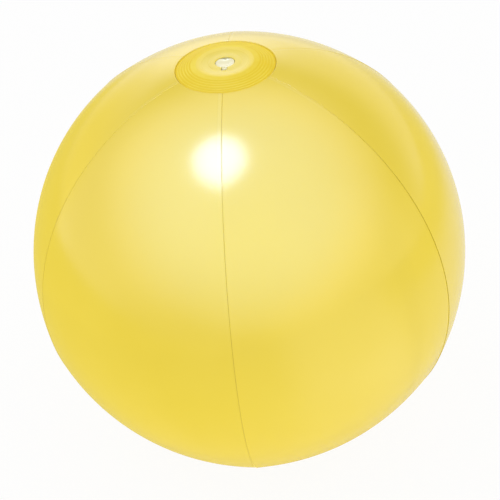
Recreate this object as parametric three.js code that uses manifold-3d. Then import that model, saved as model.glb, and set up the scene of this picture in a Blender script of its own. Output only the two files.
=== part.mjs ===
// Inflated beach ball: six film panels welded along the meridians, a welded disc over each pole and,
// in the top disc, a push-in valve with a hinged stopper and an inner check flap.
// Millimetres. The origin is the ball's centre and +Z runs along the pole axis, up through the valve.
import * as THREE from "three";
import { mergeVertices } from "three/addons/utils/BufferGeometryUtils.js";
import loadManifold from "manifold-3d";

// Film envelope
const BALL_RADIUS = 140; // from the centre to a seam
const PANEL_COUNT = 6;
const PANEL_FLATTENING = 1.8; // a panel's middle lies this far inside the seam circle
const FILM = 0.25;
const SEAM_SLIT = 0.3; // open line between two neighbouring panels
const SEAM_DEPTH = 3.5; // welded panel edges, turned into the ball
const SEAM_THICKNESS = 0.4;
const WELD_GAP = 0.3; // between layers that lie on each other

// Pole discs
const FLAT_RADIUS = 19.5; // smooth middle of a disc, over the hole that the panel tips leave
const WELD_BAND = 9.5; // width of the grooved band around it
const GROOVE_COUNT = 6;
const GROOVE_DEPTH = 0.2;
const DISC_FILM = 0.45;

// Valve stem and its soft skirt
const STEM_BORE = 3.2;
const STEM_WALL = 1.3;
const STEM_LENGTH = 15;
const FOOT_THICKNESS = 1.2;
const FOOT_LIP = 0.6; // the foot's reach past the skirt
const LUG_THICKNESS = 1.4;
const LUG_LIP = 0.4; // the lug's reach past the strap's fold
const SKIRT_WALL = 0.6;
const SKIRT_CLEARANCE = 0.5; // around the stem
const SKIRT_SEAT = 0.3; // from the flange's opening to the skirt
const FLANGE_THICKNESS = 0.9;
const FLANGE_LIP = 1; // the flange's reach past the skirt
const VALVE_GROOVE_WIDTH = 0.8; // weld ring pressed into the disc over the flange's rim

// Stopper: a cap with a plug below it, and the strap that it swings on
const CAP_LIP = 0.9; // the cap's reach past the stem
const CAP_THICKNESS = 1.2;
const CAP_BEVEL = 0.25;
const CAP_DISH = 0.3; // hollow in the top for a finger
const CAP_RECESS = 0.3; // the cap lies this far below the disc's face
const PLUG_LENGTH = 4.5;
const PLUG_CLEARANCE = 0.15;
const STRAP_REACH = 1.6; // from the cap's edge to the fold that it swings on
const STRAP_WIDTH = 3.6;
const STRAP_THICKNESS = 0.9;
const STOPPER_SWING = THREE.MathUtils.degToRad(100);
const KEYHOLE_CLEARANCE = 0.6; // around the cap and the strap, in the disc and the flange

// Check flap under the stem
const FLAP_LAP = 0.9; // overlap on the bore's rim
const FLAP_THICKNESS = 0.6;
const FLAP_TAB = 1.3; // from the flap's edge to its fold
const FLAP_TAB_WIDTH = 3;

// Facets
const PANEL_ROWS = 20;
const PANEL_COLUMNS = 8;
const DISC_SEGMENTS = PANEL_COUNT * PANEL_COLUMNS;
const VALVE_SEGMENTS = 32;
const BAND_STEPS = 3;
const PLUG_STEPS = 4;
const SKIRT_STEPS = 6;

const manifold = await loadManifold();
manifold.setup();

const material = (name, color, roughness) =>
  new THREE.MeshStandardMaterial({ name, color, roughness, metalness: 0 });
const filmMaterial = material("film", 0xf0da6c, 0.25);
const weldMaterial = material("weld", 0xd8bc3c, 0.35);
const discMaterial = material("disc", 0xf1dd7c, 0.3);
const valveMaterial = material("valve", 0xf3e596, 0.3);

function part(name, geometry, surface) {
  const mesh = new THREE.Mesh(geometry, surface);
  mesh.name = name;
  return mesh;
}

function group(name, z, ...children) {
  const made = new THREE.Group();
  made.name = name;
  made.position.z = z;
  children.forEach((child) => made.add(child));
  return made;
}

function toSolid(geometry) {
  const bare = new THREE.BufferGeometry();
  bare.setAttribute("position", geometry.getAttribute("position"));
  bare.setIndex(geometry.getIndex());
  const merged = mergeVertices(bare, 1e-4);
  const mesh = new manifold.Mesh({
    numProp: 3,
    vertProperties: new Float32Array(merged.getAttribute("position").array),
    triVerts: new Uint32Array(merged.getIndex().array),
  });
  return new manifold.Manifold(mesh);
}

function toGeometry(solid) {
  const mesh = solid.getMesh();
  const geometry = new THREE.BufferGeometry();
  geometry.setAttribute("position", new THREE.BufferAttribute(mesh.vertProperties, 3));
  geometry.setIndex(new THREE.BufferAttribute(mesh.triVerts, 1));
  return geometry;
}

const join = (a, b) => toGeometry(toSolid(a).add(toSolid(b)));
const cut = (a, b) => toGeometry(toSolid(a).subtract(toSolid(b)));

// Turned body about Z from [radius, height] pairs that run anticlockwise
function turned(profile, segments) {
  const points = profile.map(([radius, height]) => new THREE.Vector2(radius, height));
  return new THREE.LatheGeometry(points, segments).rotateX(Math.PI / 2);
}

const turnedRing = (profile, segments) => turned([...profile, profile[0]], segments);

// Block between two corners
function block(low, high) {
  const size = high.map((value, axis) => value - low[axis]);
  const middle = high.map((value, axis) => (value + low[axis]) / 2);
  return new THREE.BoxGeometry(...size).translate(...middle);
}

// Closed sheet between a front and a back surface, each a function of (row share, column share)
function sheet(rows, columns, front, back) {
  const positions = [];
  const across = columns + 1;
  for (const face of [front, back]) {
    for (let row = 0; row <= rows; row++) {
      for (let column = 0; column <= columns; column++) {
        positions.push(...face(row / rows, column / columns));
      }
    }
  }
  const backStart = (rows + 1) * across;
  const at = (row, column) => row * across + column;
  const indices = [];
  const quad = (a, b, c, d) => indices.push(a, b, c, a, c, d);
  for (let row = 0; row < rows; row++) {
    for (let column = 0; column < columns; column++) {
      const a = at(row, column);
      const b = at(row, column + 1);
      const c = at(row + 1, column + 1);
      const d = at(row + 1, column);
      quad(a, b, c, d);
      quad(backStart + d, backStart + c, backStart + b, backStart + a);
    }
  }
  const wall = (from, to) => quad(from, to, backStart + to, backStart + from);
  for (let row = 0; row < rows; row++) {
    wall(at(row, 0), at(row + 1, 0));
    wall(at(row + 1, columns), at(row, columns));
  }
  for (let column = 0; column < columns; column++) {
    wall(at(0, column + 1), at(0, column));
    wall(at(rows, column), at(rows, column + 1));
  }
  const geometry = new THREE.BufferGeometry();
  geometry.setAttribute("position", new THREE.Float32BufferAttribute(positions, 3));
  geometry.setIndex(indices);
  return geometry;
}

// Panels: every level section is one arc from seam to seam, a little flatter than the seam circle
const halfPanel = Math.PI / PANEL_COUNT;
const tipLatitude = Math.acos(FLAT_RADIUS / BALL_RADIUS);
const middleShare = 1 - PANEL_FLATTENING / BALL_RADIUS;
const arcRise = middleShare - Math.cos(halfPanel);
const arcRadius = (Math.sin(halfPanel) ** 2 + arcRise ** 2) / (2 * arcRise);
const arcCentre = middleShare - arcRadius;

function panelPoint(radius, rowShare, columnShare) {
  const latitude = (2 * rowShare - 1) * tipLatitude;
  const level = radius * Math.cos(latitude);
  const edge = halfPanel - Math.asin(SEAM_SLIT / 2 / level);
  const longitude = (2 * columnShare - 1) * edge;
  const inset = arcCentre * Math.sin(longitude);
  const reach = level * (arcCentre * Math.cos(longitude) + Math.sqrt(arcRadius ** 2 - inset ** 2));
  return [reach * Math.cos(longitude), reach * Math.sin(longitude), radius * Math.sin(latitude)];
}

const panelGeometry = sheet(
  PANEL_ROWS,
  PANEL_COLUMNS,
  (row, column) => panelPoint(BALL_RADIUS, row, column),
  (row, column) => panelPoint(BALL_RADIUS - FILM, row, column),
);

// Seam fins: the melted panel edges, standing inward from the slit between two panels
function finPoint(side, rowShare, depthShare) {
  const latitude = (2 * rowShare - 1) * tipLatitude;
  const radius = BALL_RADIUS - FILM - WELD_GAP - depthShare * SEAM_DEPTH;
  return [radius * Math.cos(latitude), side * SEAM_THICKNESS / 2, radius * Math.sin(latitude)];
}

const finGeometry = sheet(
  PANEL_ROWS,
  1,
  (row, depth) => finPoint(1, row, depth),
  (row, depth) => finPoint(-1, row, depth),
);

const envelope = group("envelope", 0);
const firstSeam = -Math.PI / 2; // a seam faces -Y
for (let index = 0; index < PANEL_COUNT; index++) {
  const seam = part(`seam_weld_${index + 1}`, finGeometry, weldMaterial);
  seam.rotation.z = firstSeam + 2 * index * halfPanel;
  const panel = part(`panel_${index + 1}`, panelGeometry, filmMaterial);
  panel.rotation.z = seam.rotation.z + halfPanel;
  envelope.add(seam, panel);
}

// Valve: heights are taken from the top disc's outer face, and the stopper's strap points to -Y
const stemRadius = STEM_BORE + STEM_WALL;
const capRadius = stemRadius + CAP_LIP;
const hingeHeight = -CAP_RECESS - CAP_THICKNESS;
const hingeReach = capRadius + STRAP_REACH;
const stemTop = hingeHeight - WELD_GAP;
const footBottom = stemTop - STEM_LENGTH;
const footTop = footBottom + FOOT_THICKNESS;
const lugReach = hingeReach + LUG_LIP;
const strapHalf = STRAP_WIDTH / 2;

// Keyhole in the disc and the flange: round for the cap, with a notch for the strap and for the cap's
// edge when the stopper is swung right over
const holeRadius = capRadius + KEYHOLE_CLEARANCE;
const sweptBack = CAP_THICKNESS * Math.sin(STOPPER_SWING) - STRAP_REACH * Math.cos(STOPPER_SWING);
const notchReach = hingeReach + sweptBack + KEYHOLE_CLEARANCE;
const notchHalf = strapHalf + KEYHOLE_CLEARANCE;
const notch = (bottom, top) => block([-notchHalf, -notchReach, bottom], [notchHalf, 0, top]);

const flangeTop = -DISC_FILM - WELD_GAP;
const flangeBottom = flangeTop - FLANGE_THICKNESS;
const skirtTop = flangeBottom - WELD_GAP;
const skirtBottom = footTop + WELD_GAP;
const skirtTopRadius = Math.hypot(notchReach, notchHalf) + SKIRT_SEAT;
const skirtFootRadius = stemRadius + SKIRT_CLEARANCE;
const footRadius = skirtFootRadius + SKIRT_WALL + FOOT_LIP;
const flangeRadius = skirtTopRadius + SKIRT_WALL + FLANGE_LIP;

// Pole discs: flat in the middle, with a grooved weld band that follows the ball over the panel tips
const discUnder = BALL_RADIUS + WELD_GAP;
const discOver = discUnder + DISC_FILM;
const flatUnder = Math.sqrt(discUnder ** 2 - FLAT_RADIUS ** 2);
const faceHeight = flatUnder + DISC_FILM;
const onSphere = (sphere, radius) => [radius, Math.sqrt(sphere ** 2 - radius ** 2)];

function discProfile(innerRadius, valveGroove) {
  const profile = [[innerRadius, flatUnder]];
  for (let step = 0; step <= BAND_STEPS; step++) {
    profile.push(onSphere(discUnder, FLAT_RADIUS + WELD_BAND * step / BAND_STEPS));
  }
  for (let half = 2 * GROOVE_COUNT; half > 0; half--) {
    const depth = half % 2 ? GROOVE_DEPTH : 0;
    profile.push(onSphere(discOver - depth, FLAT_RADIUS + WELD_BAND * half / (2 * GROOVE_COUNT)));
  }
  profile.push([FLAT_RADIUS, faceHeight], ...valveGroove, [innerRadius, faceHeight]);
  return profile;
}

const bottomDisc = part("bottom_disc", turned(discProfile(0, []), DISC_SEGMENTS), discMaterial);
bottomDisc.rotation.x = Math.PI;

const valveGroove = [
  [flangeRadius, faceHeight],
  [flangeRadius - VALVE_GROOVE_WIDTH / 2, faceHeight - GROOVE_DEPTH],
  [flangeRadius - VALVE_GROOVE_WIDTH, faceHeight],
];
const topDisc = part(
  "top_disc",
  cut(
    turnedRing(discProfile(holeRadius, valveGroove), DISC_SEGMENTS),
    notch(flatUnder - DISC_FILM, faceHeight + DISC_FILM),
  ),
  discMaterial,
);

const flangeProfile = [
  [holeRadius, flangeBottom],
  [flangeRadius, flangeBottom],
  [flangeRadius, flangeTop],
  [holeRadius, flangeTop],
];
const flange = part(
  "valve_flange",
  cut(
    turnedRing(flangeProfile, VALVE_SEGMENTS),
    notch(flangeBottom - FLANGE_THICKNESS, flangeTop + FLANGE_THICKNESS),
  ),
  valveMaterial,
);

// Skirt: a soft bell from the flange down to the stem's foot, which turns inside out with the push
function skirtSide(offset) {
  const side = [];
  for (let step = 0; step <= SKIRT_STEPS; step++) {
    const share = step / SKIRT_STEPS;
    const flare = Math.cos(share * Math.PI / 2) * (skirtTopRadius - skirtFootRadius);
    side.push([skirtFootRadius + flare + offset, skirtTop + (skirtBottom - skirtTop) * share]);
  }
  return side;
}

const skirt = part(
  "valve_skirt",
  turnedRing([...skirtSide(0), ...skirtSide(SKIRT_WALL).reverse()], VALVE_SEGMENTS),
  valveMaterial,
);

// Stem: a tube with a foot that the skirt stands on, and a lug under the strap's fold
const stemProfile = [
  [STEM_BORE, footBottom],
  [footRadius, footBottom],
  [footRadius, footTop],
  [stemRadius, footTop],
  [stemRadius, stemTop],
  [STEM_BORE, stemTop],
];
const stemLug = block(
  [-strapHalf, -lugReach, stemTop - LUG_THICKNESS],
  [strapHalf, -(STEM_BORE + stemRadius) / 2, stemTop],
);
const stem = part("valve_stem", join(turnedRing(stemProfile, VALVE_SEGMENTS), stemLug), valveMaterial);

// Stopper: the plug narrows along a circle about the strap's fold, so that it swings clear of the bore
const plugSweep = hingeReach + STEM_BORE - PLUG_CLEARANCE;
const stopperProfile = [[0, -PLUG_LENGTH]];
for (let step = PLUG_STEPS; step >= 0; step--) {
  const depth = PLUG_LENGTH * step / PLUG_STEPS;
  stopperProfile.push([Math.sqrt(plugSweep ** 2 - depth ** 2) - hingeReach, -depth]);
}
stopperProfile.push(
  [capRadius - CAP_BEVEL, 0],
  [capRadius, CAP_BEVEL],
  [capRadius, CAP_THICKNESS - CAP_BEVEL],
  [capRadius - CAP_BEVEL, CAP_THICKNESS],
  [stemRadius, CAP_THICKNESS],
  [STEM_BORE, CAP_THICKNESS - CAP_DISH],
  [0, CAP_THICKNESS - CAP_DISH],
);

// Strap: a short band from the cap's edge to its fold over the stem's lug
const strapInner = capRadius + WELD_GAP;
const strapTurn = Math.asin(strapHalf / strapInner);
const strapShape = new THREE.Shape();
strapShape.moveTo(-strapHalf, -hingeReach);
strapShape.lineTo(strapHalf, -hingeReach);
strapShape.absarc(0, 0, strapInner, strapTurn - Math.PI / 2, -strapTurn - Math.PI / 2, true);
strapShape.closePath();
const strapGeometry = new THREE.ExtrudeGeometry(strapShape, {
  depth: STRAP_THICKNESS,
  bevelEnabled: false,
  curveSegments: 6,
});

const stopper = group(
  "stopper",
  hingeHeight,
  part("stopper_plug", turned(stopperProfile, VALVE_SEGMENTS), valveMaterial),
  part("stopper_strap", strapGeometry, valveMaterial),
);

// Check flap: a thin disc under the bore, on a tab that folds at the foot
const flapRadius = STEM_BORE + FLAP_LAP;
const flapFold = flapRadius + FLAP_TAB;
const flapProfile = [
  [0, -FLAP_THICKNESS],
  [flapRadius, -FLAP_THICKNESS],
  [flapRadius, 0],
  [0, 0],
];
const flapTab = block(
  [-FLAP_TAB_WIDTH / 2, -flapFold, -FLAP_THICKNESS],
  [FLAP_TAB_WIDTH / 2, -flapRadius / 2, 0],
);
const flap = part("check_flap", join(turned(flapProfile, VALVE_SEGMENTS), flapTab), valveMaterial);
flap.position.z = footBottom - WELD_GAP;

const valve = group("valve", faceHeight, flange, skirt, stem, stopper, flap);

export default group("beach_ball", 0, envelope, topDisc, bottomDisc, valve);
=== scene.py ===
import math

import bpy
import numpy as np
from mathutils import Matrix, Vector


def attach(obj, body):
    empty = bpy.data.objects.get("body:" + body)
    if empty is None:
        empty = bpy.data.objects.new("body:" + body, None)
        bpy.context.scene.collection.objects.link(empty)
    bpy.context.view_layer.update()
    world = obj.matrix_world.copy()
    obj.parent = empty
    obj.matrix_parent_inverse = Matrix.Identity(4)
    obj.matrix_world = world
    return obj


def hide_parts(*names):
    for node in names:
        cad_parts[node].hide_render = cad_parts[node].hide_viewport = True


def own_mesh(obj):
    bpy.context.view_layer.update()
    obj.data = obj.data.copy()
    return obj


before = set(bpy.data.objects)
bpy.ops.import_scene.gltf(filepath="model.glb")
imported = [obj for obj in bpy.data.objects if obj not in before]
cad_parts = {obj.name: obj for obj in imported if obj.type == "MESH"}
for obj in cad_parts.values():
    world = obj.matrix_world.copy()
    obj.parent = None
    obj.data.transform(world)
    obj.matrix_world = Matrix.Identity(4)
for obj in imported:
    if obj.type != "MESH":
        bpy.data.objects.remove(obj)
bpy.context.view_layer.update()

scene = bpy.context.scene
scene.view_settings.view_transform = "Standard"

# Film panels
# Six gores of frosted yellow PVC film, a quarter of a millimetre thick, blown up taut. Their long edges turn
# inward where each is heat sealed to the next gore, and the tips lie under the round disc at either pole.
MM = 0.001
BALL_RADIUS = 140 * MM
PANEL_COUNT = 6
PANEL_FLATTENING = 1.8 * MM
FILM = 0.25 * MM
TIP_RADIUS = 19.5 * MM
DISC_RADIUS = 29 * MM
SEAM_HALF_SLIT = 0.03 * MM
SEAM_ROLL = 0.12 * MM
SEAM_LINE = 0.12 * MM
SEAM_STEPS = np.array([0.2, 0.3, 0.22, 0, -0.22, -0.1]) * MM
STEP_SPREAD = 6 * MM
SEAM_OPEN = 127.6 * MM
LINE_AT_DISC = 0.2
EDGE_TINT = 0.3
EDGE_TINT_WIDTH = 0.45 * MM
STRIP_START = (0.4 * MM, 0.7 * MM)
STRIP_END = (2.1 * MM, 2.3 * MM)
STRIP_LINE_TINT = 0.2
STRIP_LINE_WIDTH = 0.16 * MM
STRIP_FADE = (40 * MM, 85 * MM)
ROUND_UNTIL = 2 * DISC_RADIUS
CREASE_WIDTH = 0.4 * MM
CREASE_SINK = 1.1 * MM
# Painted shade: the film in the crease just outside the disc's edge is darkened over this span, by this
# share.
CREASE_SHADE_SPAN = (DISC_RADIUS + 0.12 * MM, DISC_RADIUS + 0.36 * MM)
CREASE_SHADE = 0.35
PILLOW = -0.1 * MM
PILLOW_SPREAD = 14 * MM
HALF_PANEL = math.pi / PANEL_COUNT
FIRST_SEAM = -math.pi / 2
PANEL_ROWS = 84
PANEL_MIDDLE_COLUMNS = 26
NEAR_SEAM = np.array([
    0, 0.02, 0.05, 0.08, 0.12, 0.2, 0.4, 0.7, 1.2, 2.0, 2.15, 2.3, 2.45, 2.8, 4.0, 6.0,
]) * MM
NEAR_DISC = np.array([
    19.5, 22, 25, 27, 28.4, 29, 29.05, 29.1, 29.15, 29.2, 29.25, 29.3, 29.35, 29.4, 29.7, 30.2, 31, 32.5,
]) * MM
SHARP_ANGLE = math.radians(50)
VINYL_IOR = 1.52
CLOUD_DETAIL = 3
GRAIN_DETAIL = 2
CLOUD_SPAN = (0.3, 0.7)
FILM_SCALES = (16, 2400)
FILM_COLOURS = ((0.845, 0.645, 0.042), (0.895, 0.695, 0.064))
STRIP_COLOUR = (0.88, 0.69, 0.08)
# The dark seam lines and the painted shade in the crease beside the discs both take this colour.
LINE_AND_SHADE_COLOUR = (0.62, 0.47, 0.008)
FILM_ROUGHNESS = (0.16, 0.19)
LINE_ROUGHNESS = 0.7
FILM_BUMP = 0.01 * MM


def smooth_step(low, high, value):
    share = np.clip((value - low) / (high - low), 0, 1)
    return share * share * (3 - 2 * share)


def new_piece(name, points, faces, finish):
    mesh = bpy.data.meshes.new(name)
    mesh.from_pydata([tuple(point) for point in points], [], faces)
    mesh.materials.append(finish)
    mesh.shade_smooth()
    mesh.set_sharp_from_angle(angle=SHARP_ANGLE)
    piece = bpy.data.objects.new(name, mesh)
    scene.collection.objects.link(piece)
    return piece


def mark(piece, name, values):
    attribute = piece.data.attributes.new(name, "FLOAT", "POINT")
    attribute.data.foreach_set("value", np.asarray(values, np.float32).ravel())


# Faces of a thin closed skin between two grids of the same shape, the outer one first. With around, the
# columns run right round and only the first and last rows get an edge wall.
def skin_faces(rows, columns, around):
    back = rows * columns
    steps = columns if around else columns - 1
    faces = []
    for row in range(rows - 1):
        for column in range(steps):
            after = (column + 1) % columns
            a, b = row * columns + column, row * columns + after
            c, d = b + columns, a + columns
            faces.append((a, b, c, d))
            faces.append((back + d, back + c, back + b, back + a))
    last = (rows - 1) * columns
    for column in range(steps):
        after = (column + 1) % columns
        faces.append((after, column, back + column, back + after))
        faces.append((last + column, last + after, back + last + after, back + last + column))
    if not around:
        for row in range(rows - 1):
            west, east = row * columns, row * columns + columns - 1
            faces.append((west, west + columns, back + west + columns, back + west))
            faces.append((east + columns, east, back + east, back + east + columns))
    return faces


middle_share = 1 - PANEL_FLATTENING / BALL_RADIUS
arc_rise = middle_share - math.cos(HALF_PANEL)
arc_radius = (math.sin(HALF_PANEL) ** 2 + arc_rise ** 2) / (2 * arc_rise)
arc_centre = middle_share - arc_radius


# One gore as two grids of points, the outer and the inner face, with its middle on local X and its seam lines
# half a panel to either side. Level sections are flattened arcs that become round beside the disc. The two
# steps say how far this gore's edges stand proud of its neighbours'. With the grids come the marks for the
# dark lines, for the painted shade in the crease beside the disc, and for the pale welded strip.
def gore_grids(west_step, east_step):
    upper = np.arccos(NEAR_DISC / BALL_RADIUS)
    open_rows = np.linspace(-upper[-1], upper[-1], PANEL_ROWS)[1:-1]
    latitudes = np.concatenate([-upper, open_rows, upper[::-1]])
    level = BALL_RADIUS * np.cos(latitudes)
    half_width = HALF_PANEL * level - SEAM_HALF_SLIT
    middle = np.linspace(0, 1, PANEL_MIDDLE_COLUMNS + 2)[1:-1]
    from_west = np.concatenate([
        np.broadcast_to(NEAR_SEAM, (len(level), len(NEAR_SEAM))),
        NEAR_SEAM[-1] + middle * (2 * half_width[:, None] - 2 * NEAR_SEAM[-1]),
        2 * half_width[:, None] - NEAR_SEAM[::-1],
    ], axis=1)
    from_east = 2 * half_width[:, None] - from_west
    longitude = (from_west - half_width[:, None]) / level[:, None]
    off_centre = arc_centre * np.sin(longitude)
    flat_reach = arc_centre * np.cos(longitude) + np.sqrt(arc_radius ** 2 - off_centre ** 2)
    roundness = 1 - smooth_step(DISC_RADIUS, ROUND_UNTIL, level)[:, None]
    reach = flat_reach + (1 - flat_reach) * roundness
    pillow = PILLOW * np.exp(-(level - DISC_RADIUS - CREASE_WIDTH) / PILLOW_SPREAD)
    crease = smooth_step(DISC_RADIUS, DISC_RADIUS + CREASE_WIDTH, level)
    under_disc = -CREASE_SINK * smooth_step(TIP_RADIUS, DISC_RADIUS, level)
    lift = np.where(level > DISC_RADIUS, under_disc + crease * (pillow - under_disc), under_disc)
    to_edge = np.minimum(from_west, from_east)
    step = west_step * np.exp(-from_west / STEP_SPREAD) + east_step * np.exp(-from_east / STEP_SPREAD)
    step = step * smooth_step(DISC_RADIUS + CREASE_WIDTH, SEAM_OPEN, level)[:, None]
    rolled = np.clip(SEAM_ROLL - to_edge, 0, None)
    roll = SEAM_ROLL - np.sqrt(SEAM_ROLL ** 2 - rolled ** 2)
    grids = []
    for depth in (0, FILM):
        scale = 1 + (lift[:, None] + step - roll - depth) / BALL_RADIUS
        x = level[:, None] * reach * np.cos(longitude) * scale
        y = level[:, None] * reach * np.sin(longitude) * scale
        z = BALL_RADIUS * np.sin(latitudes)[:, None] * scale
        grids.append(np.stack([x, y, z], axis=-1))
    open_seam = LINE_AT_DISC + (1 - LINE_AT_DISC) * smooth_step(DISC_RADIUS, SEAM_OPEN, level)[:, None]
    seam_line = open_seam * (1 - smooth_step(0, SEAM_LINE, to_edge))
    edge_line = EDGE_TINT * open_seam * (1 - smooth_step(0, EDGE_TINT_WIDTH, from_west))
    # Painted shade in the crease beside the disc, carried in the same mark as the seam lines.
    crease_shade = CREASE_SHADE * (1 - smooth_step(*CREASE_SHADE_SPAN, level))[:, None]
    by_disc = 1 - smooth_step(*STRIP_FADE, level)[:, None]
    strip_line = STRIP_LINE_TINT * by_disc * np.exp(-((from_east - STRIP_END[1]) / STRIP_LINE_WIDTH) ** 2)
    line = np.maximum(np.maximum(seam_line, edge_line), np.maximum(crease_shade, strip_line))
    strip = by_disc * smooth_step(*STRIP_START, from_east) * (1 - smooth_step(*STRIP_END, from_east))
    return grids, line, strip


# Shared surface of soft PVC: broad cloudiness from the calendered sheet and a fine frosted grain.
def build_vinyl_grain():
    group = bpy.data.node_groups.new("vinyl_grain", "ShaderNodeTree")
    for name in ("Cloud Scale", "Grain Scale"):
        group.interface.new_socket(name, in_out="INPUT", socket_type="NodeSocketFloat")
    for name in ("Cloud", "Grain"):
        group.interface.new_socket(name, in_out="OUTPUT", socket_type="NodeSocketFloat")
    nodes, links = group.nodes, group.links
    given = nodes.new("NodeGroupInput")
    place = nodes.new("ShaderNodeTexCoord")
    cloud = nodes.new("ShaderNodeTexNoise")
    cloud.inputs["Detail"].default_value = CLOUD_DETAIL
    grain = nodes.new("ShaderNodeTexNoise")
    grain.inputs["Detail"].default_value = GRAIN_DETAIL
    result = nodes.new("NodeGroupOutput")
    links.new(place.outputs["Object"], cloud.inputs["Vector"])
    links.new(place.outputs["Object"], grain.inputs["Vector"])
    links.new(given.outputs["Cloud Scale"], cloud.inputs["Scale"])
    links.new(given.outputs["Grain Scale"], grain.inputs["Scale"])
    links.new(cloud.outputs["Fac"], result.inputs["Cloud"])
    links.new(grain.outputs["Fac"], result.inputs["Grain"])
    return group


vinyl_grain = build_vinyl_grain()


# A material with a Principled shader and the vinyl grain laid out beside it.
def new_vinyl(name, cloud_scale, grain_scale):
    finish = bpy.data.materials.new(name)
    finish.use_nodes = True
    nodes = finish.node_tree.nodes
    shader = nodes["Principled BSDF"]
    shader.inputs["IOR"].default_value = VINYL_IOR
    grain = nodes.new("ShaderNodeGroup")
    grain.node_tree = vinyl_grain
    grain.inputs["Cloud Scale"].default_value = cloud_scale
    grain.inputs["Grain Scale"].default_value = grain_scale
    return finish, shader, grain


# Colour between low and high, where low may also be the output of a node.
def tint(finish, share, low, high):
    ramp = finish.node_tree.nodes.new("ShaderNodeMix")
    ramp.data_type = "RGBA"
    ramp.clamp_factor = True
    for socket, value in (("A_Color", low), ("B_Color", high)):
        target = next(i for i in ramp.inputs if i.identifier == socket)
        if isinstance(value, tuple):
            target.default_value = (*value, 1)
        else:
            finish.node_tree.links.new(value, target)
    finish.node_tree.links.new(share, next(i for i in ramp.inputs if i.identifier == "Factor_Float"))
    return next(o for o in ramp.outputs if o.identifier == "Result_Color")


# Spreads the middle of the cloud noise, where nearly all its values lie, from low to high.
def stretch(finish, share, low, high):
    ranged = finish.node_tree.nodes.new("ShaderNodeMapRange")
    ranged.inputs["From Min"].default_value = CLOUD_SPAN[0]
    ranged.inputs["From Max"].default_value = CLOUD_SPAN[1]
    ranged.inputs["To Min"].default_value = low
    ranged.inputs["To Max"].default_value = high
    finish.node_tree.links.new(share, ranged.inputs["Value"])
    return ranged.outputs["Result"]


def between(finish, share, low, high):
    mixed = finish.node_tree.nodes.new("ShaderNodeMix")
    mixed.inputs["B"].default_value = high
    finish.node_tree.links.new(share, mixed.inputs["Factor"])
    finish.node_tree.links.new(low, mixed.inputs["A"])
    return mixed.outputs["Result"]


def read_mark(finish, name):
    attribute = finish.node_tree.nodes.new("ShaderNodeAttribute")
    attribute.attribute_name = name
    return attribute.outputs["Fac"]


def add_bump(finish, shader, height, distance):
    bump = finish.node_tree.nodes.new("ShaderNodeBump")
    bump.inputs["Distance"].default_value = distance
    finish.node_tree.links.new(height, bump.inputs["Height"])
    finish.node_tree.links.new(bump.outputs["Normal"], shader.inputs["Normal"])


def connect(finish, output, shader, name):
    finish.node_tree.links.new(output, shader.inputs[name])


film_finish, film_shader, film_grain = new_vinyl("frosted_film", *FILM_SCALES)
film_cloud = tint(film_finish, film_grain.outputs["Cloud"], *FILM_COLOURS)
film_strip = tint(film_finish, read_mark(film_finish, "weld_strip"), film_cloud, STRIP_COLOUR)
# This mark holds the dark seam lines and the painted shade in the crease beside the discs.
film_line_and_shade = read_mark(film_finish, "weld_line_and_crease_shade")
connect(film_finish, tint(film_finish, film_line_and_shade, film_strip, LINE_AND_SHADE_COLOUR), film_shader, "Base Color")
film_gloss = stretch(film_finish, film_grain.outputs["Cloud"], *FILM_ROUGHNESS)
connect(film_finish, between(film_finish, film_line_and_shade, film_gloss, LINE_ROUGHNESS), film_shader, "Roughness")
add_bump(film_finish, film_shader, film_grain.outputs["Grain"], FILM_BUMP)

# At each seam a positive step raises the gore that starts there, and a negative one the gore that ends there.
for number in range(PANEL_COUNT):
    after = (number + 1) % PANEL_COUNT
    west_step, east_step = max(SEAM_STEPS[number], 0), max(-SEAM_STEPS[after], 0)
    gore_sides, gore_line_and_shade, gore_strip = gore_grids(west_step, east_step)
    spin = np.array(Matrix.Rotation(FIRST_SEAM + (2 * number + 1) * HALF_PANEL, 3, "Z"))
    gore_points = np.concatenate([side.reshape(-1, 3) for side in gore_sides]) @ spin.T
    gore_faces = skin_faces(*gore_line_and_shade.shape, around=False)
    panel = new_piece(f"film_panel_{number + 1}", gore_points, gore_faces, film_finish)
    mark(panel, "weld_line_and_crease_shade", np.concatenate([gore_line_and_shade.ravel(), gore_line_and_shade.ravel()]))
    mark(panel, "weld_strip", np.concatenate([gore_strip.ravel(), gore_strip.ravel()]))
    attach(panel, "ball")
    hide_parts(f"panel_{number + 1}")

# Seam welds
# The two film edges of every seam, melted together into one stiff fin that stands inward behind the line.
# Its free edge is a little uneven, as the sealing bar and the trimming knife leave it.
FIN_TOP = 139.1 * MM
FIN_FOOT = 135.95 * MM
FIN_THICKNESS = 0.4 * MM
FIN_ROWS = 160
FIN_DEPTHS = np.array([0, 0.08, 0.3, 0.7, 0.92, 1.0])
FIN_SWELL = np.array([0.45, 0.8, 1.0, 1.0, 0.8, 0.45])
FIN_RIPPLE = 0.25 * MM
RIPPLE_SHORT = 47
RIPPLE_LONG = 19
WELD_SCALES = (60, 1500)
WELD_COLOURS = ((0.52, 0.36, 0.012), (0.66, 0.47, 0.03))
WELD_ROUGHNESS = (0.3, 0.5)
WELD_BUMP = 0.03 * MM

weld_finish, weld_shader, weld_grain = new_vinyl("melted_seam", *WELD_SCALES)
weld_colour = tint(weld_finish, weld_grain.outputs["Cloud"], *WELD_COLOURS)
connect(weld_finish, weld_colour, weld_shader, "Base Color")
weld_gloss = stretch(weld_finish, weld_grain.outputs["Cloud"], *WELD_ROUGHNESS)
connect(weld_finish, weld_gloss, weld_shader, "Roughness")
add_bump(weld_finish, weld_shader, weld_grain.outputs["Grain"], WELD_BUMP)

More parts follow.
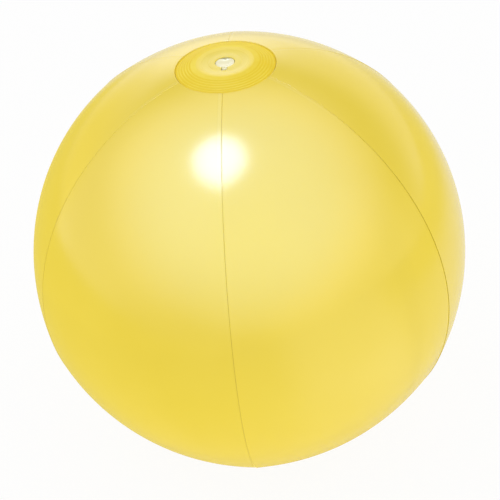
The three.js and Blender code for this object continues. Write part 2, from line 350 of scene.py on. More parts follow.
fin_latitudes = np.linspace(-1, 1, FIN_ROWS) * math.acos(TIP_RADIUS / BALL_RADIUS)
for number in range(PANEL_COUNT):
    ripple = np.sin(fin_latitudes * RIPPLE_SHORT + number) * np.sin(fin_latitudes * RIPPLE_LONG + 2 * number)
    foot = FIN_FOOT + FIN_RIPPLE * (1 + ripple) / 2
    radius = FIN_TOP + (foot - FIN_TOP)[:, None] * FIN_DEPTHS
    fin_sides = []
    for side in (1, -1):
        x = radius * np.cos(fin_latitudes)[:, None]
        z = radius * np.sin(fin_latitudes)[:, None]
        y = np.broadcast_to(side * FIN_SWELL * FIN_THICKNESS / 2, x.shape)
        fin_sides.append(np.stack([x, y, z], axis=-1).reshape(-1, 3))
    spin = np.array(Matrix.Rotation(FIRST_SEAM + 2 * number * HALF_PANEL, 3, "Z"))
    fin_faces = skin_faces(*radius.shape, around=False)
    fin = new_piece(f"seam_fin_{number + 1}", np.concatenate(fin_sides) @ spin.T, fin_faces, weld_finish)
    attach(fin, "ball")
    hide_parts(f"seam_weld_{number + 1}")

# Pole discs
# Round patches of thicker yellow PVC over the tips of the gores. A ring-shaped electrode has welded each to
# the film and pressed fine grooves into the outer band, and the single layer in the middle swells a little.
FACE_HEIGHT = 139.38826 * MM
DISC_FILM = 0.45 * MM
DISC_OVER = 140.75 * MM
GROOVE_COUNT = 6
GROOVE_DEPTH = 0.12 * MM
GROOVE_STEPS = 10
RIM_DROP = 1.3 * MM
RIM_ROUND = 0.15 * MM
DISC_EDGE = 28.8 * MM
CROWN_RISE = 0.45 * MM
CROWN_RADIUS = 17.3 * MM
WELD_BAND = 17 * MM
BAND_FADE = 12 * MM
HOLE_RADIUS = 5.7 * MM
NOTCH_REACH = 9.06 * MM
NOTCH_HALF = 1.75 * MM
NOTCH_SQUARENESS = 10
KEYHOLE_SHARPNESS = 18
KEYHOLE_CLEAR = 9.28 * MM
LIP_STEPS = np.array([0, 0.03, 0.08, 0.16]) * MM
LIP_ROUND = LIP_STEPS[-1]
LIP_SPACING = (0.25, 0.5, 0.75)
VALVE_RING = (9.3 * MM, 10.1 * MM)
VALVE_RING_STEPS = 8
MIDDLE_STEPS = 32
RIM_SPACING = np.array([0.6, 0.25, 0])
DISC_SEGMENTS = 288
DISC_SCALES = (70, 2000)
DISC_COLOURS = ((0.88, 0.70, 0.085), (0.94, 0.76, 0.12))
NEAR_BAND_COLOUR = (0.90, 0.69, 0.055)
DISC_ROUGHNESS = (0.17, 0.22)
NEAR_BAND_ROUGHNESS = 0.45
DISC_BUMP = 0.01 * MM
BAND_SCALES = (55, 2000)
BAND_COLOURS = ((0.86, 0.635, 0.025), (0.935, 0.745, 0.09))
# Painted shade: the bottoms of the band's pressed grooves are darkened towards this colour.
GROOVE_SHADE_COLOUR = (0.84, 0.60, 0.012)
BAND_ROUGHNESS = (0.45, 0.6)
BAND_SPECULAR = 0.15
BAND_BUMP = 0.02 * MM

disc_finish, disc_shader, disc_grain = new_vinyl("disc_vinyl", *DISC_SCALES)
disc_near = read_mark(disc_finish, "near_band")
disc_middle = tint(disc_finish, disc_grain.outputs["Cloud"], *DISC_COLOURS)
disc_colour = tint(disc_finish, disc_near, disc_middle, NEAR_BAND_COLOUR)
connect(disc_finish, disc_colour, disc_shader, "Base Color")
disc_gloss = stretch(disc_finish, disc_grain.outputs["Cloud"], *DISC_ROUGHNESS)
disc_gloss = between(disc_finish, disc_near, disc_gloss, NEAR_BAND_ROUGHNESS)
connect(disc_finish, disc_gloss, disc_shader, "Roughness")
add_bump(disc_finish, disc_shader, disc_grain.outputs["Grain"], DISC_BUMP)

band_finish, band_shader, band_grain = new_vinyl("welded_band", *BAND_SCALES)
band_patches = stretch(band_finish, band_grain.outputs["Cloud"], 0, 1)
band_crest = tint(band_finish, band_patches, *BAND_COLOURS)
# The band's grooves get painted shade, darker than the crests between them.
band_colour = tint(band_finish, read_mark(band_finish, "groove_shade"), band_crest, GROOVE_SHADE_COLOUR)
connect(band_finish, band_colour, band_shader, "Base Color")
band_gloss = stretch(band_finish, band_grain.outputs["Cloud"], *BAND_ROUGHNESS)
connect(band_finish, band_gloss, band_shader, "Roughness")
add_bump(band_finish, band_shader, band_grain.outputs["Grain"], BAND_BUMP)
band_shader.inputs["Specular IOR Level"].default_value = BAND_SPECULAR


# Distance from the axis to the keyhole's edge: round for the cap, with a notch for the strap towards -Y.
def keyhole_radius(angle):
    ahead = np.clip(-np.sin(angle), 0, None) / NOTCH_REACH
    aside = np.abs(np.cos(angle)) / NOTCH_HALF
    notch = (ahead ** NOTCH_SQUARENESS + aside ** NOTCH_SQUARENESS) ** (-1 / NOTCH_SQUARENESS)
    notch = np.where(np.sin(angle) < 0, notch, 0)
    return (HOLE_RADIUS ** KEYHOLE_SHARPNESS + notch ** KEYHOLE_SHARPNESS) ** (1 / KEYHOLE_SHARPNESS)


# Height of the disc's outer face, and how far it is drawn down there by the welding electrode.
def disc_heights(radius, crown):
    band = np.sqrt(DISC_OVER ** 2 - radius ** 2) - RIM_DROP * smooth_step(TIP_RADIUS, DISC_RADIUS, radius)
    middle = FACE_HEIGHT + crown * smooth_step(VALVE_RING[1], CROWN_RADIUS, radius)
    pitch = (DISC_RADIUS - TIP_RADIUS) / GROOVE_COUNT
    wave = 0.5 - 0.5 * np.cos(2 * math.pi * (radius - TIP_RADIUS) / pitch)
    ring_share = np.clip((radius - VALVE_RING[0]) / (VALVE_RING[1] - VALVE_RING[0]), 0, 1)
    pressed = np.where(radius < TIP_RADIUS, np.sin(math.pi * ring_share) ** 2, wave) * GROOVE_DEPTH
    return np.minimum(middle, band), pressed


def disc_radii():
    ring = np.linspace(*VALVE_RING, VALVE_RING_STEPS + 1)
    middle = np.linspace(VALVE_RING[1], TIP_RADIUS, MIDDLE_STEPS + 1)[1:]
    band = np.linspace(TIP_RADIUS, DISC_RADIUS, GROOVE_COUNT * GROOVE_STEPS + 1)[1:-1]
    rim = DISC_EDGE - RIM_ROUND * RIM_SPACING
    return np.concatenate([[KEYHOLE_CLEAR], ring, middle, band[band < rim[0]], rim])


def rim_wear(radius):
    past = np.clip(radius - (DISC_EDGE - RIM_ROUND), 0, RIM_ROUND)
    return RIM_ROUND - np.sqrt(RIM_ROUND ** 2 - past ** 2)


# Gives the pressed band its own finish, and marks its grooves, which that finish darkens as painted shade,
# and the zone where the middle goes over into it, from each point's distance to the axis.
def finish_disc(disc, node):
    mesh = disc.data
    mesh.materials.append(band_finish)
    for face in mesh.polygons:
        face.material_index = int(math.hypot(*face.center[:2]) > WELD_BAND)
    radius = np.array([math.hypot(*point.co[:2]) for point in mesh.vertices])
    mark(disc, "groove_shade", disc_heights(radius, 0)[1] / GROOVE_DEPTH)
    mark(disc, "near_band", smooth_step(BAND_FADE, WELD_BAND, radius))
    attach(disc, "ball")
    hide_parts(node)


disc_angles = np.arange(DISC_SEGMENTS) * 2 * math.pi / DISC_SEGMENTS
keyhole = keyhole_radius(disc_angles)


def ring_points(radius, height):
    points = np.stack([radius * np.cos(disc_angles), radius * np.sin(disc_angles), height], axis=-1)
    return points.reshape(-1, 3)


lip_end = keyhole + LIP_ROUND
top_rings = [keyhole + step for step in LIP_STEPS]
top_rings += [lip_end + share * (KEYHOLE_CLEAR - lip_end) for share in LIP_SPACING]
top_rings += [np.full_like(keyhole, radius) for radius in disc_radii()]
top_radius = np.array(top_rings)[::-1]
top_height, top_pressed = disc_heights(top_radius, CROWN_RISE)
past_lip = np.clip(lip_end - top_radius, 0, LIP_ROUND)
top_worn = LIP_ROUND - np.sqrt(LIP_ROUND ** 2 - past_lip ** 2) + rim_wear(top_radius)
top_outer = ring_points(top_radius, top_height - top_pressed - top_worn)
top_grids = [top_outer, ring_points(top_radius, top_height - DISC_FILM)]
top_faces = skin_faces(*top_radius.shape, around=True)
finish_disc(new_piece("pole_patch_top", np.concatenate(top_grids), top_faces, disc_finish), "top_disc")


# Faces over rows of points that each run right round; with closed, the last row joins the first one.
def tube_faces(rows, columns, closed):
    faces = []
    for row in range(rows if closed else rows - 1):
        here, ahead = row * columns, (row + 1) % rows * columns
        for column in range(columns):
            after = (column + 1) % columns
            faces.append((here + column, here + after, ahead + after, ahead + column))
    return faces


# Turned body about Z from (radius, height) pairs that run anticlockwise, either a closed ring or from the
# axis back to the axis.
def turned(name, profile, segments, finish):
    angles = np.arange(segments) * 2 * math.pi / segments
    on_axis = profile[0][0] == 0
    rows = profile[1:-1] if on_axis else profile
    points = [(r * math.cos(a), r * math.sin(a), z) for r, z in rows for a in angles]
    faces = tube_faces(len(rows), segments, closed=not on_axis)
    if on_axis:
        low, high = len(points), len(points) + 1
        points += [(0, 0, profile[0][1]), (0, 0, profile[-1][1])]
        last = (len(rows) - 1) * segments
        for column in range(segments):
            after = (column + 1) % segments
            faces.append((low, after, column))
            faces.append((high, last + column, last + after))
    return new_piece(name, points, faces, finish)


bottom_radius = np.concatenate([[0, 0.5 * KEYHOLE_CLEAR], disc_radii()])
bottom_height, bottom_pressed = disc_heights(bottom_radius, 0)
bottom_pressed = np.where(bottom_radius < TIP_RADIUS, 0, bottom_pressed)
bottom_outer = list(zip(bottom_radius, rim_wear(bottom_radius) + bottom_pressed - bottom_height))
bottom_inner = list(zip(bottom_radius, DISC_FILM - bottom_height))
bottom_profile = bottom_outer + bottom_inner[::-1]
finish_disc(turned("pole_patch_bottom", bottom_profile, DISC_SEGMENTS, disc_finish), "bottom_disc")

# Valve flange
# The thick collar of the push-in valve, moulded in pale yellow soft PVC and welded under the top disc around
# the opening. It has the same keyhole as the disc, so that the cap and its strap can pass.
FLANGE_RADIUS = 11.272 * MM
FLANGE_TOP = FACE_HEIGHT - 0.47 * MM
FLANGE_BOTTOM = FACE_HEIGHT - 1.65 * MM
FLANGE_ROUND = 0.2 * MM
FLANGE_ROUND_STEPS = 4
VALVE_SCALES = (220, 3000)
VALVE_COLOURS = ((0.89, 0.83, 0.52), (0.94, 0.89, 0.63))
VALVE_ROUGHNESS = (0.2, 0.34)
VALVE_BUMP = 0.01 * MM

valve_finish, valve_shader, valve_grain = new_vinyl("pale_vinyl", *VALVE_SCALES)
valve_colour = tint(valve_finish, valve_grain.outputs["Cloud"], *VALVE_COLOURS)
connect(valve_finish, valve_colour, valve_shader, "Base Color")
valve_gloss = stretch(valve_finish, valve_grain.outputs["Cloud"], *VALVE_ROUGHNESS)
connect(valve_finish, valve_gloss, valve_shader, "Roughness")
add_bump(valve_finish, valve_shader, valve_grain.outputs["Grain"], VALVE_BUMP)


def fit_valve(piece, body, *nodes):
    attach(piece, body)
    if nodes:
        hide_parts(*nodes)
    return piece


flange_loop = []
for quarter in range(4):
    outer, upper = quarter in (0, 1), quarter in (1, 2)
    for step in range(FLANGE_ROUND_STEPS + 1):
        turn = (quarter - 1 + step / FLANGE_ROUND_STEPS) * math.pi / 2
        ring = FLANGE_RADIUS - FLANGE_ROUND if outer else keyhole + FLANGE_ROUND
        level = FLANGE_TOP - FLANGE_ROUND if upper else FLANGE_BOTTOM + FLANGE_ROUND
        ring = np.broadcast_to(ring + FLANGE_ROUND * math.cos(turn), keyhole.shape)
        height = np.full_like(keyhole, level + FLANGE_ROUND * math.sin(turn))
        flange_loop.append(ring_points(ring, height))
flange_points = np.concatenate(flange_loop)
flange_faces = tube_faces(len(flange_loop), DISC_SEGMENTS, closed=True)
fit_valve(new_piece("valve_collar", flange_points, flange_faces, valve_finish), "ball", "valve_flange")

# Valve skirt
# The thin soft bell between the flange and the foot of the stem. It holds the air while the stem is in. On
# the real valve it folds up flat under the flange when the stem is pulled out; here it is built in its blown
# shape only.
SKIRT_TOP = FACE_HEIGHT - 1.67 * MM
SKIRT_BOTTOM = FACE_HEIGHT - 15.58 * MM
SKIRT_TOP_RADIUS = 9.672 * MM
SKIRT_FOOT_RADIUS = 5.0 * MM
SKIRT_WALL = 0.6 * MM
SKIRT_STEPS = 28
VALVE_SEGMENTS = 96


def skirt_side(offset):
    side = []
    for step in range(SKIRT_STEPS + 1):
        share = step / SKIRT_STEPS
        flare = math.cos(share * math.pi / 2) * (SKIRT_TOP_RADIUS - SKIRT_FOOT_RADIUS)
        side.append((SKIRT_FOOT_RADIUS + flare + offset, SKIRT_TOP + (SKIRT_BOTTOM - SKIRT_TOP) * share))
    return side


skirt = turned("valve_bell", skirt_side(0) + skirt_side(SKIRT_WALL)[::-1], VALVE_SEGMENTS, valve_finish)
fit_valve(skirt, "ball", "valve_skirt")
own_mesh(skirt)

# Valve stem
# The tube that is blown through, moulded in one with the foot that carries the skirt and with the lug under
# the strap's fold. The air goes down its bore and past the check flap.
STEM_BORE = 3.2 * MM
STEM_RADIUS = 4.5 * MM
STEM_TOP = FACE_HEIGHT - 1.8 * MM
FOOT_TOP = FACE_HEIGHT - 15.6 * MM
FOOT_BOTTOM = FACE_HEIGHT - 16.8 * MM
FOOT_RADIUS = 6.2 * MM
LUG_HALF = 1.4 * MM
LUG_REACH = 8.6 * MM
LUG_THICKNESS = 1.4 * MM
LUG_BELOW_TOP = 0.02 * MM
EDGE_ROUND = 0.25 * MM
CORNER_STEPS = 4
BEVEL_SEGMENTS = 3
MOULDED_SHARP_ANGLE = math.radians(40)


# Rounds the corners of a closed profile given as (radius, height, rounding).
def rounded(corners):
    made = []
    for index, (r, z, rounding) in enumerate(corners):
        here = np.array([r, z])
        before = np.array(corners[index - 1][:2]) - here
        after = np.array(corners[(index + 1) % len(corners)][:2]) - here
        if not rounding:
            made.append((r, z))
            continue
        before, after = before / np.linalg.norm(before), after / np.linalg.norm(after)
        half = math.acos(np.clip(before @ after, -1, 1)) / 2
        middle = here + (before + after) / np.linalg.norm(before + after) * rounding / math.sin(half)
        first, last = here + before * rounding / math.tan(half), here + after * rounding / math.tan(half)
        for step in range(CORNER_STEPS + 1):
            share = step / CORNER_STEPS
            arm = (1 - share) * (first - middle) + share * (last - middle)
            made.append(tuple(middle + arm / np.linalg.norm(arm) * rounding))
    return made


def rounded_block(name, low, high, rounding, finish):
    corners = [[(low, high)[bits >> axis & 1][axis] for axis in range(3)] for bits in range(8)]
    faces = [(0, 2, 3, 1), (4, 5, 7, 6), (0, 1, 5, 4), (2, 6, 7, 3), (0, 4, 6, 2), (1, 3, 7, 5)]
    block = new_piece(name, corners, faces, finish)
    bevel = block.modifiers.new("rounded", "BEVEL")
    bevel.width = rounding
    bevel.segments = BEVEL_SEGMENTS
    return block


# Turns a piece's modifiers into plain mesh.
def settle(piece):
    settled = bpy.data.meshes.new_from_object(piece.evaluated_get(bpy.context.evaluated_depsgraph_get()))
    piece.modifiers.clear()
    piece.data = settled
    settled.shade_smooth()
    settled.set_sharp_from_angle(angle=MOULDED_SHARP_ANGLE)
    return piece


def weld_on(piece, extra):
    join = piece.modifiers.new("moulded in one", "BOOLEAN")
    join.operation = "UNION"
    join.solver = "EXACT"
    join.object = extra
    settle(piece)
    bpy.data.objects.remove(extra)
    return piece


stem = turned("valve_tube", rounded([
    (STEM_BORE, FOOT_BOTTOM, EDGE_ROUND),
    (FOOT_RADIUS, FOOT_BOTTOM, EDGE_ROUND),
    (FOOT_RADIUS, FOOT_TOP, EDGE_ROUND),
    (STEM_RADIUS, FOOT_TOP, EDGE_ROUND),
    (STEM_RADIUS, STEM_TOP, EDGE_ROUND),
    (STEM_BORE, STEM_TOP, EDGE_ROUND),
]), VALVE_SEGMENTS, valve_finish)
lug = rounded_block(
    "lug",
    (-LUG_HALF, -LUG_REACH, STEM_TOP - LUG_THICKNESS),
    (LUG_HALF, -(STEM_BORE + STEM_RADIUS) / 2, STEM_TOP - LUG_BELOW_TOP),
    EDGE_ROUND,
    valve_finish,
)
fit_valve(weld_on(stem, lug), "stem", "valve_stem")

# Stopper
# A soft cap that closes the stem, with a hollow on top for the fingertip and a notch opposite the strap for
# the thumbnail. Cap, plug and strap are moulded in one, and the plug's side follows a circle about the
# strap's fold, so that it swings out of the bore.
HINGE_HEIGHT = FACE_HEIGHT - 1.5 * MM
HINGE_REACH = 7.0 * MM
CAP_RADIUS = 5.45 * MM
CAP_THICKNESS = 1.2 * MM
CAP_EDGE = 0.2 * MM
CAP_EDGE_STEPS = 8
CAP_DISH = 0.9 * MM
DISH_SHARE = 0.92
DISH_STEPS = 14
PLUG_LENGTH = 4.5 * MM
PLUG_CLEARANCE = 0.15 * MM
PLUG_SWEEP = HINGE_REACH + STEM_BORE - PLUG_CLEARANCE
PLUG_STEPS = 12
TIP_TAPER = 0.8 * MM
TIP_SHARE = 0.18
THUMB_DEPTH = 1.7 * MM
THUMB_SPREAD = math.radians(26)

stopper_profile = [(0, HINGE_HEIGHT - PLUG_LENGTH)]
for step in range(PLUG_STEPS + 1):
    share = step / PLUG_STEPS
    depth = PLUG_LENGTH * (1 - share)
    taper = TIP_TAPER * (1 - smooth_step(0, TIP_SHARE, share))
    side = math.sqrt(PLUG_SWEEP ** 2 - depth ** 2) - HINGE_REACH
    stopper_profile.append((side - taper, HINGE_HEIGHT - depth))
for step in range(CAP_EDGE_STEPS + 1):
    turn = math.pi * (step / CAP_EDGE_STEPS - 0.5)
    bulge = CAP_THICKNESS / 2 * math.sin(turn)
    edge = CAP_RADIUS - CAP_EDGE * (1 - math.cos(turn))
    stopper_profile.append((edge, HINGE_HEIGHT + CAP_THICKNESS / 2 + bulge))
for step in range(1, DISH_STEPS + 1):
    share = 1 - step / DISH_STEPS
    dish = CAP_DISH * (1 - min(share / DISH_SHARE, 1) ** 2)
    stopper_profile.append((share * (CAP_RADIUS - CAP_EDGE), HINGE_HEIGHT + CAP_THICKNESS - dish))
stopper = turned("stopper_cap", stopper_profile, VALVE_SEGMENTS, valve_finish)
for point in stopper.data.vertices:
    reach = math.hypot(*point.co[:2])
    aim = math.atan2(point.co.x, point.co.y) / THUMB_SPREAD
    cut = THUMB_DEPTH * math.exp(-aim ** 2) * smooth_step(PLUG_SWEEP - HINGE_REACH, CAP_RADIUS, reach)
    if reach > cut:
        point.co.xy *= 1 - cut / reach
fit_valve(stopper, "stopper", "stopper_plug")

# Stopper strap
# The short band that ties the cap to the stem. It is moulded with the cap, and its far end folds over the
# stem's lug in a bead of the same soft PVC.
STRAP_HALF = 1.4 * MM
STRAP_WIDENING = 1.1
STRAP_THICKNESS = 0.9 * MM
STRAP_OVERLAP = 0.1 * MM
FOLD_RADIUS = 0.3 * MM

strap = rounded_block(
    "stopper_band",
    (-STRAP_HALF, -HINGE_REACH, HINGE_HEIGHT),
    (STRAP_HALF, STRAP_OVERLAP - CAP_RADIUS, HINGE_HEIGHT + STRAP_THICKNESS),
    EDGE_ROUND,
    valve_finish,
)
for point in strap.data.vertices:
    if point.co.y > -CAP_RADIUS:
        point.co.x *= STRAP_WIDENING
fit_valve(settle(strap), "stopper", "stopper_strap")


def fold_bead(name, half, y, z):
    bead = turned(name, rounded([
        (0, -half, 0),
        (FOLD_RADIUS, -half, FOLD_RADIUS / 2),
        (FOLD_RADIUS, half, FOLD_RADIUS / 2),
        (0, half, 0),
    ]), VALVE_SEGMENTS, valve_finish)
    bead.data.transform(Matrix.Translation((0, y, z)) @ Matrix.Rotation(math.pi / 2, 4, "Y"))
    return fit_valve(bead, "stem")


fold_bead("stopper_fold", STRAP_HALF, -HINGE_REACH, HINGE_HEIGHT)

# Check flap
# A thin leaf of soft PVC under the stem's lower end. The pressure in the ball holds it against the bore's
# rim, and a breath blown in pushes it down on the fold of its tab.
FLAP_RADIUS = 4.1 * MM
FLAP_TOP = FOOT_BOTTOM - 0.1 * MM
FLAP_BOTTOM = FACE_HEIGHT - 17.7 * MM
FLAP_FOLD = 5.4 * MM
FLAP_FOLD_HEIGHT = FACE_HEIGHT - 17.1 * MM
FLAP_TAB_HALF = 1.5 * MM
FLAP_TAB_INSET = 0.01 * MM
FLAP_ROUND = 0.2 * MM

flap = turned("check_leaf", rounded([
    (0, FLAP_BOTTOM, 0),
    (FLAP_RADIUS, FLAP_BOTTOM, FLAP_ROUND),
    (FLAP_RADIUS, FLAP_TOP, FLAP_ROUND),
    (0, FLAP_TOP, 0),
]), VALVE_SEGMENTS, valve_finish)
flap_tab = rounded_block(
    "tab",
    (-FLAP_TAB_HALF, -FLAP_FOLD, FLAP_BOTTOM + FLAP_TAB_INSET),
    (FLAP_TAB_HALF, -FLAP_RADIUS / 2, FLAP_TOP - FLAP_TAB_INSET),
    FLAP_ROUND,
    valve_finish,
)
fit_valve(weld_on(flap, flap_tab), "flap", "check_flap")
fold_bead("flap_fold", FLAP_TAB_HALF, -FLAP_FOLD, FLAP_FOLD_HEIGHT)

# Floor
# A plain white table top, larger than the view and softly lit, which keeps the ball's soft shadow, and glows
# a little to light the ball. Painted pools of light, seen only in the film's reflection, make the film mirror
# it warm with the ball's own yellow on both sides, and bright on the right in front.
FLOOR_SIZE = 6.0
FLOOR_WHITE = 0.92
FLOOR_LIT = 0.44
FLOOR_COLOUR = (0.93, 0.93, 0.93, 1)
FLOOR_ROUGHNESS = 0.9
WHITE = (1, 1, 1)
# Painted pools of light on the table that only the film's reflection sees: warm yellow ones behind on the
# left and on the right, and a bright white one in front on the right.
WARM_ACROSS = (-1, -0.4, 0)
WARM_START = -0.1
WARM_FULL = 0.2
WARM_MIDDLE = (-1.2, 0.9, 0)
WARM_NEAR = 0.9
WARM_FAR = 2.8
WARM_RIGHT = (0.9, 0.43, 0)
WARM_RIGHT_SHARE = 0.8
RIGHT_START = 0.5
RIGHT_FULL = 0.95
RIGHT_NEAR = 0.45
RIGHT_FAR = 0.85
WARM_COLOUR = (0.95, 0.80, 0.22)
WARM_LEVEL = 0.85
BRIGHT_TOWARDS = (0.669, -0.743, 0)
BRIGHT_START = 0.866
BRIGHT_FULL = 0.978
BRIGHT_NEAR = 0.14
BRIGHT_FAR = 0.32
BRIGHT_LEVEL = 1.5

floor_mesh = bpy.data.meshes.new("floor")
corner = FLOOR_SIZE / 2
floor_corners = [(-corner, -corner, 0), (corner, -corner, 0), (corner, corner, 0), (-corner, corner, 0)]
floor_mesh.from_pydata(floor_corners, [], [(0, 1, 2, 3)])
floor = bpy.data.objects.new("floor", floor_mesh)
floor.location.z = -FACE_HEIGHT
scene.collection.objects.link(floor)
floor_finish = bpy.data.materials.new("white_table")
floor_finish.use_nodes = True
floor_nodes, floor_links = floor_finish.node_tree.nodes, floor_finish.node_tree.links
floor_shader = floor_nodes["Principled BSDF"]
floor_shader.inputs["Base Color"].default_value = FLOOR_COLOUR
floor_shader.inputs["Roughness"].default_value = FLOOR_ROUGHNESS
floor_shader.inputs["Specular IOR Level"].default_value = 0
floor_shader.inputs["Emission Color"].default_value = (*WHITE, 1)
floor_rays = floor_nodes.new("ShaderNodeLightPath").outputs
floor_place = floor_nodes.new("ShaderNodeTexCoord").outputs["Object"]


def floor_measure(operation, place, mark_point):
    measured = floor_nodes.new("ShaderNodeVectorMath")
    measured.operation = operation
    measured.inputs[1].default_value = mark_point
    floor_links.new(place, measured.inputs[0])
    return measured.outputs["Value"]


# A share that goes from 0 at start to 1 at full, which may be the lower of the two.
def floor_ramp(value, start, full):
    ramp = floor_nodes.new("ShaderNodeMapRange")
    ramp.interpolation_type = "SMOOTHSTEP"
    ramp.inputs["From Min"].default_value = start
    ramp.inputs["From Max"].default_value = full
    floor_links.new(value, ramp.inputs["Value"])
    return ramp.outputs["Result"]


def floor_times(first, second):
    product = floor_nodes.new("ShaderNodeMath")
    product.operation = "MULTIPLY"
    floor_links.new(first, product.inputs[0])
    if isinstance(second, float):
        product.inputs[1].default_value = second
    else:
        floor_links.new(second, product.inputs[1])
    return product.outputs[0]


# Lays a glow of one colour over what is below, by its share.
def floor_layer(below, share, colour, strength):
    glow = floor_nodes.new("ShaderNodeEmission")
    glow.inputs["Color"].default_value = (*colour, 1)
    glow.inputs["Strength"].default_value = strength
    layer = floor_nodes.new("ShaderNodeMixShader")
    floor_links.new(share, layer.inputs[0])
    floor_links.new(below, layer.inputs[1])
    floor_links.new(glow.outputs[0], layer.inputs[2])
    return layer.outputs[0]


floor_aim = floor_nodes.new("ShaderNodeVectorMath")
floor_aim.operation = "NORMALIZE"
floor_links.new(floor_place, floor_aim.inputs[0])
floor_away = floor_measure("DISTANCE", floor_place, (0, 0, 0))
bright_way = floor_measure("DOT_PRODUCT", floor_aim.outputs["Vector"], BRIGHT_TOWARDS)
bright_away = floor_ramp(floor_away, BRIGHT_NEAR, BRIGHT_FAR)
bright_share = floor_times(floor_ramp(bright_way, BRIGHT_START, BRIGHT_FULL), bright_away)
warm_side = floor_ramp(floor_measure("DOT_PRODUCT", floor_place, WARM_ACROSS), WARM_START, WARM_FULL)
warm_near = floor_ramp(floor_measure("DISTANCE", floor_place, WARM_MIDDLE), WARM_FAR, WARM_NEAR)
warm_share = floor_times(warm_side, warm_near)
right_way = floor_measure("DOT_PRODUCT", floor_aim.outputs["Vector"], WARM_RIGHT)
right_share = floor_times(floor_ramp(right_way, RIGHT_START, RIGHT_FULL), WARM_RIGHT_SHARE)
right_share = floor_times(right_share, floor_ramp(floor_away, RIGHT_NEAR, RIGHT_FAR))
floor_glow = floor_times(floor_rays["Is Diffuse Ray"], FLOOR_LIT)
floor_links.new(floor_glow, floor_shader.inputs["Emission Strength"])
floor_seen = floor_shader.outputs[0]
# Lays the painted pools of light over the table, for glossy rays only.
for share, colour, strength in (
    (bright_share, WHITE, BRIGHT_LEVEL),
    (warm_share, WARM_COLOUR, WARM_LEVEL),
    (right_share, WARM_COLOUR, WARM_LEVEL),
):
    floor_seen = floor_layer(floor_seen, floor_times(floor_rays["Is Glossy Ray"], share), colour, strength)
floor_seen = floor_layer(floor_seen, floor_times(floor_rays["Is Camera Ray"], FLOOR_WHITE), WHITE, 1)
floor_links.new(floor_seen, floor_nodes["Material Output"].inputs["Surface"])
floor_mesh.materials.append(floor_finish)

# Light
# One round, cool soft box almost overhead makes the highlight on the upper front, in a pale room that is a
# little dimmer in front and low down behind. The film mirrors the room's bright, cool ceiling, its walls on
# the right, on the left and behind, a small window there and the warm corners on either side of it.
SOFT_BOX_WIDTH = 0.6
SOFT_BOX_AWAY = 1.3
SOFT_BOX_TOWARDS = Vector((-0.118, -0.14, 0.98))
SOFT_BOX_WATTS = 16
SOFT_BOX_COLOUR = (0.4, 0.62, 1.0)
COOL_CEILING = (0.6, 0.78, 1.0)
WARM_CORNER = (0.85, 0.72, 0.28)
# Each part of the room: the way to it, the cosines to that way where it starts and where it is full, and what
# it adds. Those called lit light the ball, the ceiling, walls and window are mirrored in it, and the last
# three tint what is mirrored.
ROOM_LEVEL = 0.905
LIT_BEHIND = ((0.0, 1.0, -0.6), -0.1, 0.9, -0.4)
LIT_ABOVE = ((0.0, 0.45, 0.9), 0.4, 1.0, 0.1)
LIT_RIGHT = ((0.9, 0.0, 0.3), 0.0, 0.9, 0.12)
LIT_LEFT = ((-0.85, 0.45, 0.1), 0.2, 1.0, 0.22)
LIT_FRONT = ((0.0, -0.65, 0.75), 0.4, 1.0, -0.2)
DIM_SIDES = 0.4
CEILING = ((0.05, -0.42, 0.9), 0.17, 1.0, 5.7)
RIGHT_WALL = ((0.85, -0.55, 0.0), 0.6, 1.0, 0.9)
LEFT_WALL = ((-0.8, -0.15, 0.45), 0.5, 1.0, 1.1)
BACK_WALL = ((-0.1, 0.7, -0.7), 0.1, 0.4, 0.9)
BACK_WINDOW = ((-0.15, 0.94, 0.3), 0.94, 0.99, 0.6)
COOL_OVERHEAD = ((0.0, -0.5, 0.85), 0.35, 0.75, 1.0)
LEFT_CORNER = ((-0.75, 0.65, 0.0), 0.85, 1.0, 1.0)
RIGHT_CORNER = ((0.5, 0.86, 0.1), 0.88, 1.0, 0.5)

lamp = bpy.data.lights.new("soft_box", "AREA")
lamp.shape = "DISK"
lamp.size = SOFT_BOX_WIDTH
lamp.energy = SOFT_BOX_WATTS
lamp.color = SOFT_BOX_COLOUR
soft_box = bpy.data.objects.new("soft_box", lamp)
soft_box.location = SOFT_BOX_TOWARDS.normalized() * SOFT_BOX_AWAY
soft_box.rotation_euler = SOFT_BOX_TOWARDS.to_track_quat("Z", "Y").to_euler()
soft_box.visible_diffuse = False
scene.collection.objects.link(soft_box)

room = bpy.data.worlds.new("room")
room.use_nodes = True
scene.world = room
room_nodes, room_links = room.node_tree.nodes, room.node_tree.links
room_shader = room_nodes["Background"]
room_path = room_nodes.new("ShaderNodeLightPath")
room_tone = room_nodes.new("ShaderNodeMixRGB")
room_tone.inputs["Color1"].default_value = (*WHITE, 1)
room_tone.inputs["Color2"].default_value = (*COOL_CEILING, 1)
corner_tone = room_nodes.new("ShaderNodeMixRGB")
corner_tone.inputs["Color2"].default_value = (*WARM_CORNER, 1)
room_links.new(room_tone.outputs["Color"], corner_tone.inputs["Color1"])
room_links.new(corner_tone.outputs["Color"], room_shader.inputs["Color"])
room_way = room_nodes.new("ShaderNodeTexCoord")


def feed(value, socket):
    if isinstance(value, (int, float)):
        socket.default_value = value
    else:
        room_links.new(value, socket)


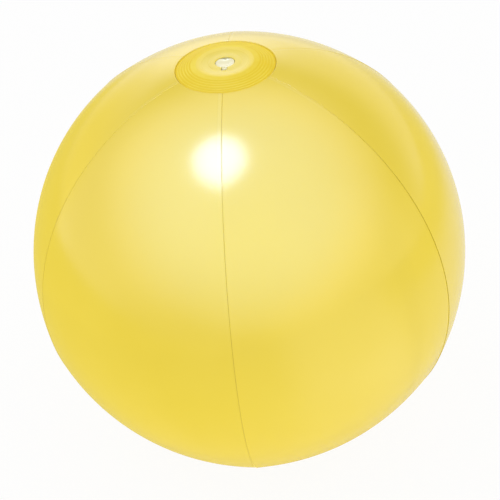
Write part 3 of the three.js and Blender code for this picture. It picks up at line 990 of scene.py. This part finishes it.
# Adds to a level what one part of the room gives.
def room_part(level, towards, start, full, strength):
    facing = room_nodes.new("ShaderNodeVectorMath")
    facing.operation = "DOT_PRODUCT"
    facing.inputs[1].default_value = Vector(towards).normalized()
    ranged = room_nodes.new("ShaderNodeMapRange")
    ranged.interpolation_type = "SMOOTHSTEP"
    ranged.inputs["From Min"].default_value = start
    ranged.inputs["From Max"].default_value = full
    ranged.inputs["To Max"].default_value = strength
    total = room_nodes.new("ShaderNodeMath")
    room_links.new(room_way.outputs["Generated"], facing.inputs[0])
    room_links.new(facing.outputs["Value"], ranged.inputs["Value"])
    room_links.new(ranged.outputs["Result"], total.inputs[0])
    feed(level, total.inputs[1])
    return total.outputs[0]


def room_choice(ray, without, with_ray):
    choice = room_nodes.new("ShaderNodeMix")
    room_links.new(room_path.outputs[ray], choice.inputs["Factor"])
    feed(without, choice.inputs["A"])
    feed(with_ray, choice.inputs["B"])
    return choice.outputs["Result"]


cool_share = room_part(0.0, *COOL_OVERHEAD)
room_links.new(room_choice("Is Glossy Ray", 0.0, cool_share), room_tone.inputs["Fac"])
corner_share = room_part(room_part(0.0, *LEFT_CORNER), *RIGHT_CORNER)
room_links.new(room_choice("Is Glossy Ray", 0.0, corner_share), corner_tone.inputs["Fac"])
lit = ROOM_LEVEL
for part in (LIT_BEHIND, LIT_ABOVE, LIT_RIGHT, LIT_LEFT, LIT_FRONT):
    lit = room_part(lit, *part)
mirrored = DIM_SIDES
for part in (CEILING, RIGHT_WALL, LEFT_WALL, BACK_WALL, BACK_WINDOW):
    mirrored = room_part(mirrored, *part)
room_level = room_choice("Is Camera Ray", room_choice("Is Glossy Ray", lit, mirrored), 1.0)
room_links.new(room_level, room_shader.inputs["Strength"])

# Camera
# A short telephoto from above and in front, turned so that the pole leans to the left as in the picture.
VIEW_AZIMUTH = math.radians(6.94)
VIEW_ELEVATION = math.radians(39.7)
VIEW_ROLL = math.radians(7.52)
VIEW_DISTANCE = 0.669
LENS = 73.5
SENSOR = 36
IMAGE_SIDE = 500
BALL_IN_IMAGE = (249.63, 249.22)

back = Vector((
    math.sin(VIEW_AZIMUTH) * math.cos(VIEW_ELEVATION),
    -math.cos(VIEW_AZIMUTH) * math.cos(VIEW_ELEVATION),
    math.sin(VIEW_ELEVATION),
))
level_right = Vector((math.cos(VIEW_AZIMUTH), math.sin(VIEW_AZIMUTH), 0))
level_up = back.cross(level_right)
right = math.cos(VIEW_ROLL) * level_right - math.sin(VIEW_ROLL) * level_up
upward = math.sin(VIEW_ROLL) * level_right + math.cos(VIEW_ROLL) * level_up
pixel = VIEW_DISTANCE * SENSOR / LENS / IMAGE_SIDE
off_right, off_down = (IMAGE_SIDE / 2 - place for place in BALL_IN_IMAGE)
aside = off_right * pixel * right - off_down * pixel * upward
camera_data = bpy.data.cameras.new("camera")
camera_data.sensor_width = SENSOR
camera_data.lens = LENS
camera = bpy.data.objects.new("camera", camera_data)
camera_turn = Matrix((right, upward, back)).transposed().to_4x4()
camera.matrix_world = Matrix.Translation(back * VIEW_DISTANCE + aside) @ camera_turn
scene.collection.objects.link(camera)
scene.camera = camera
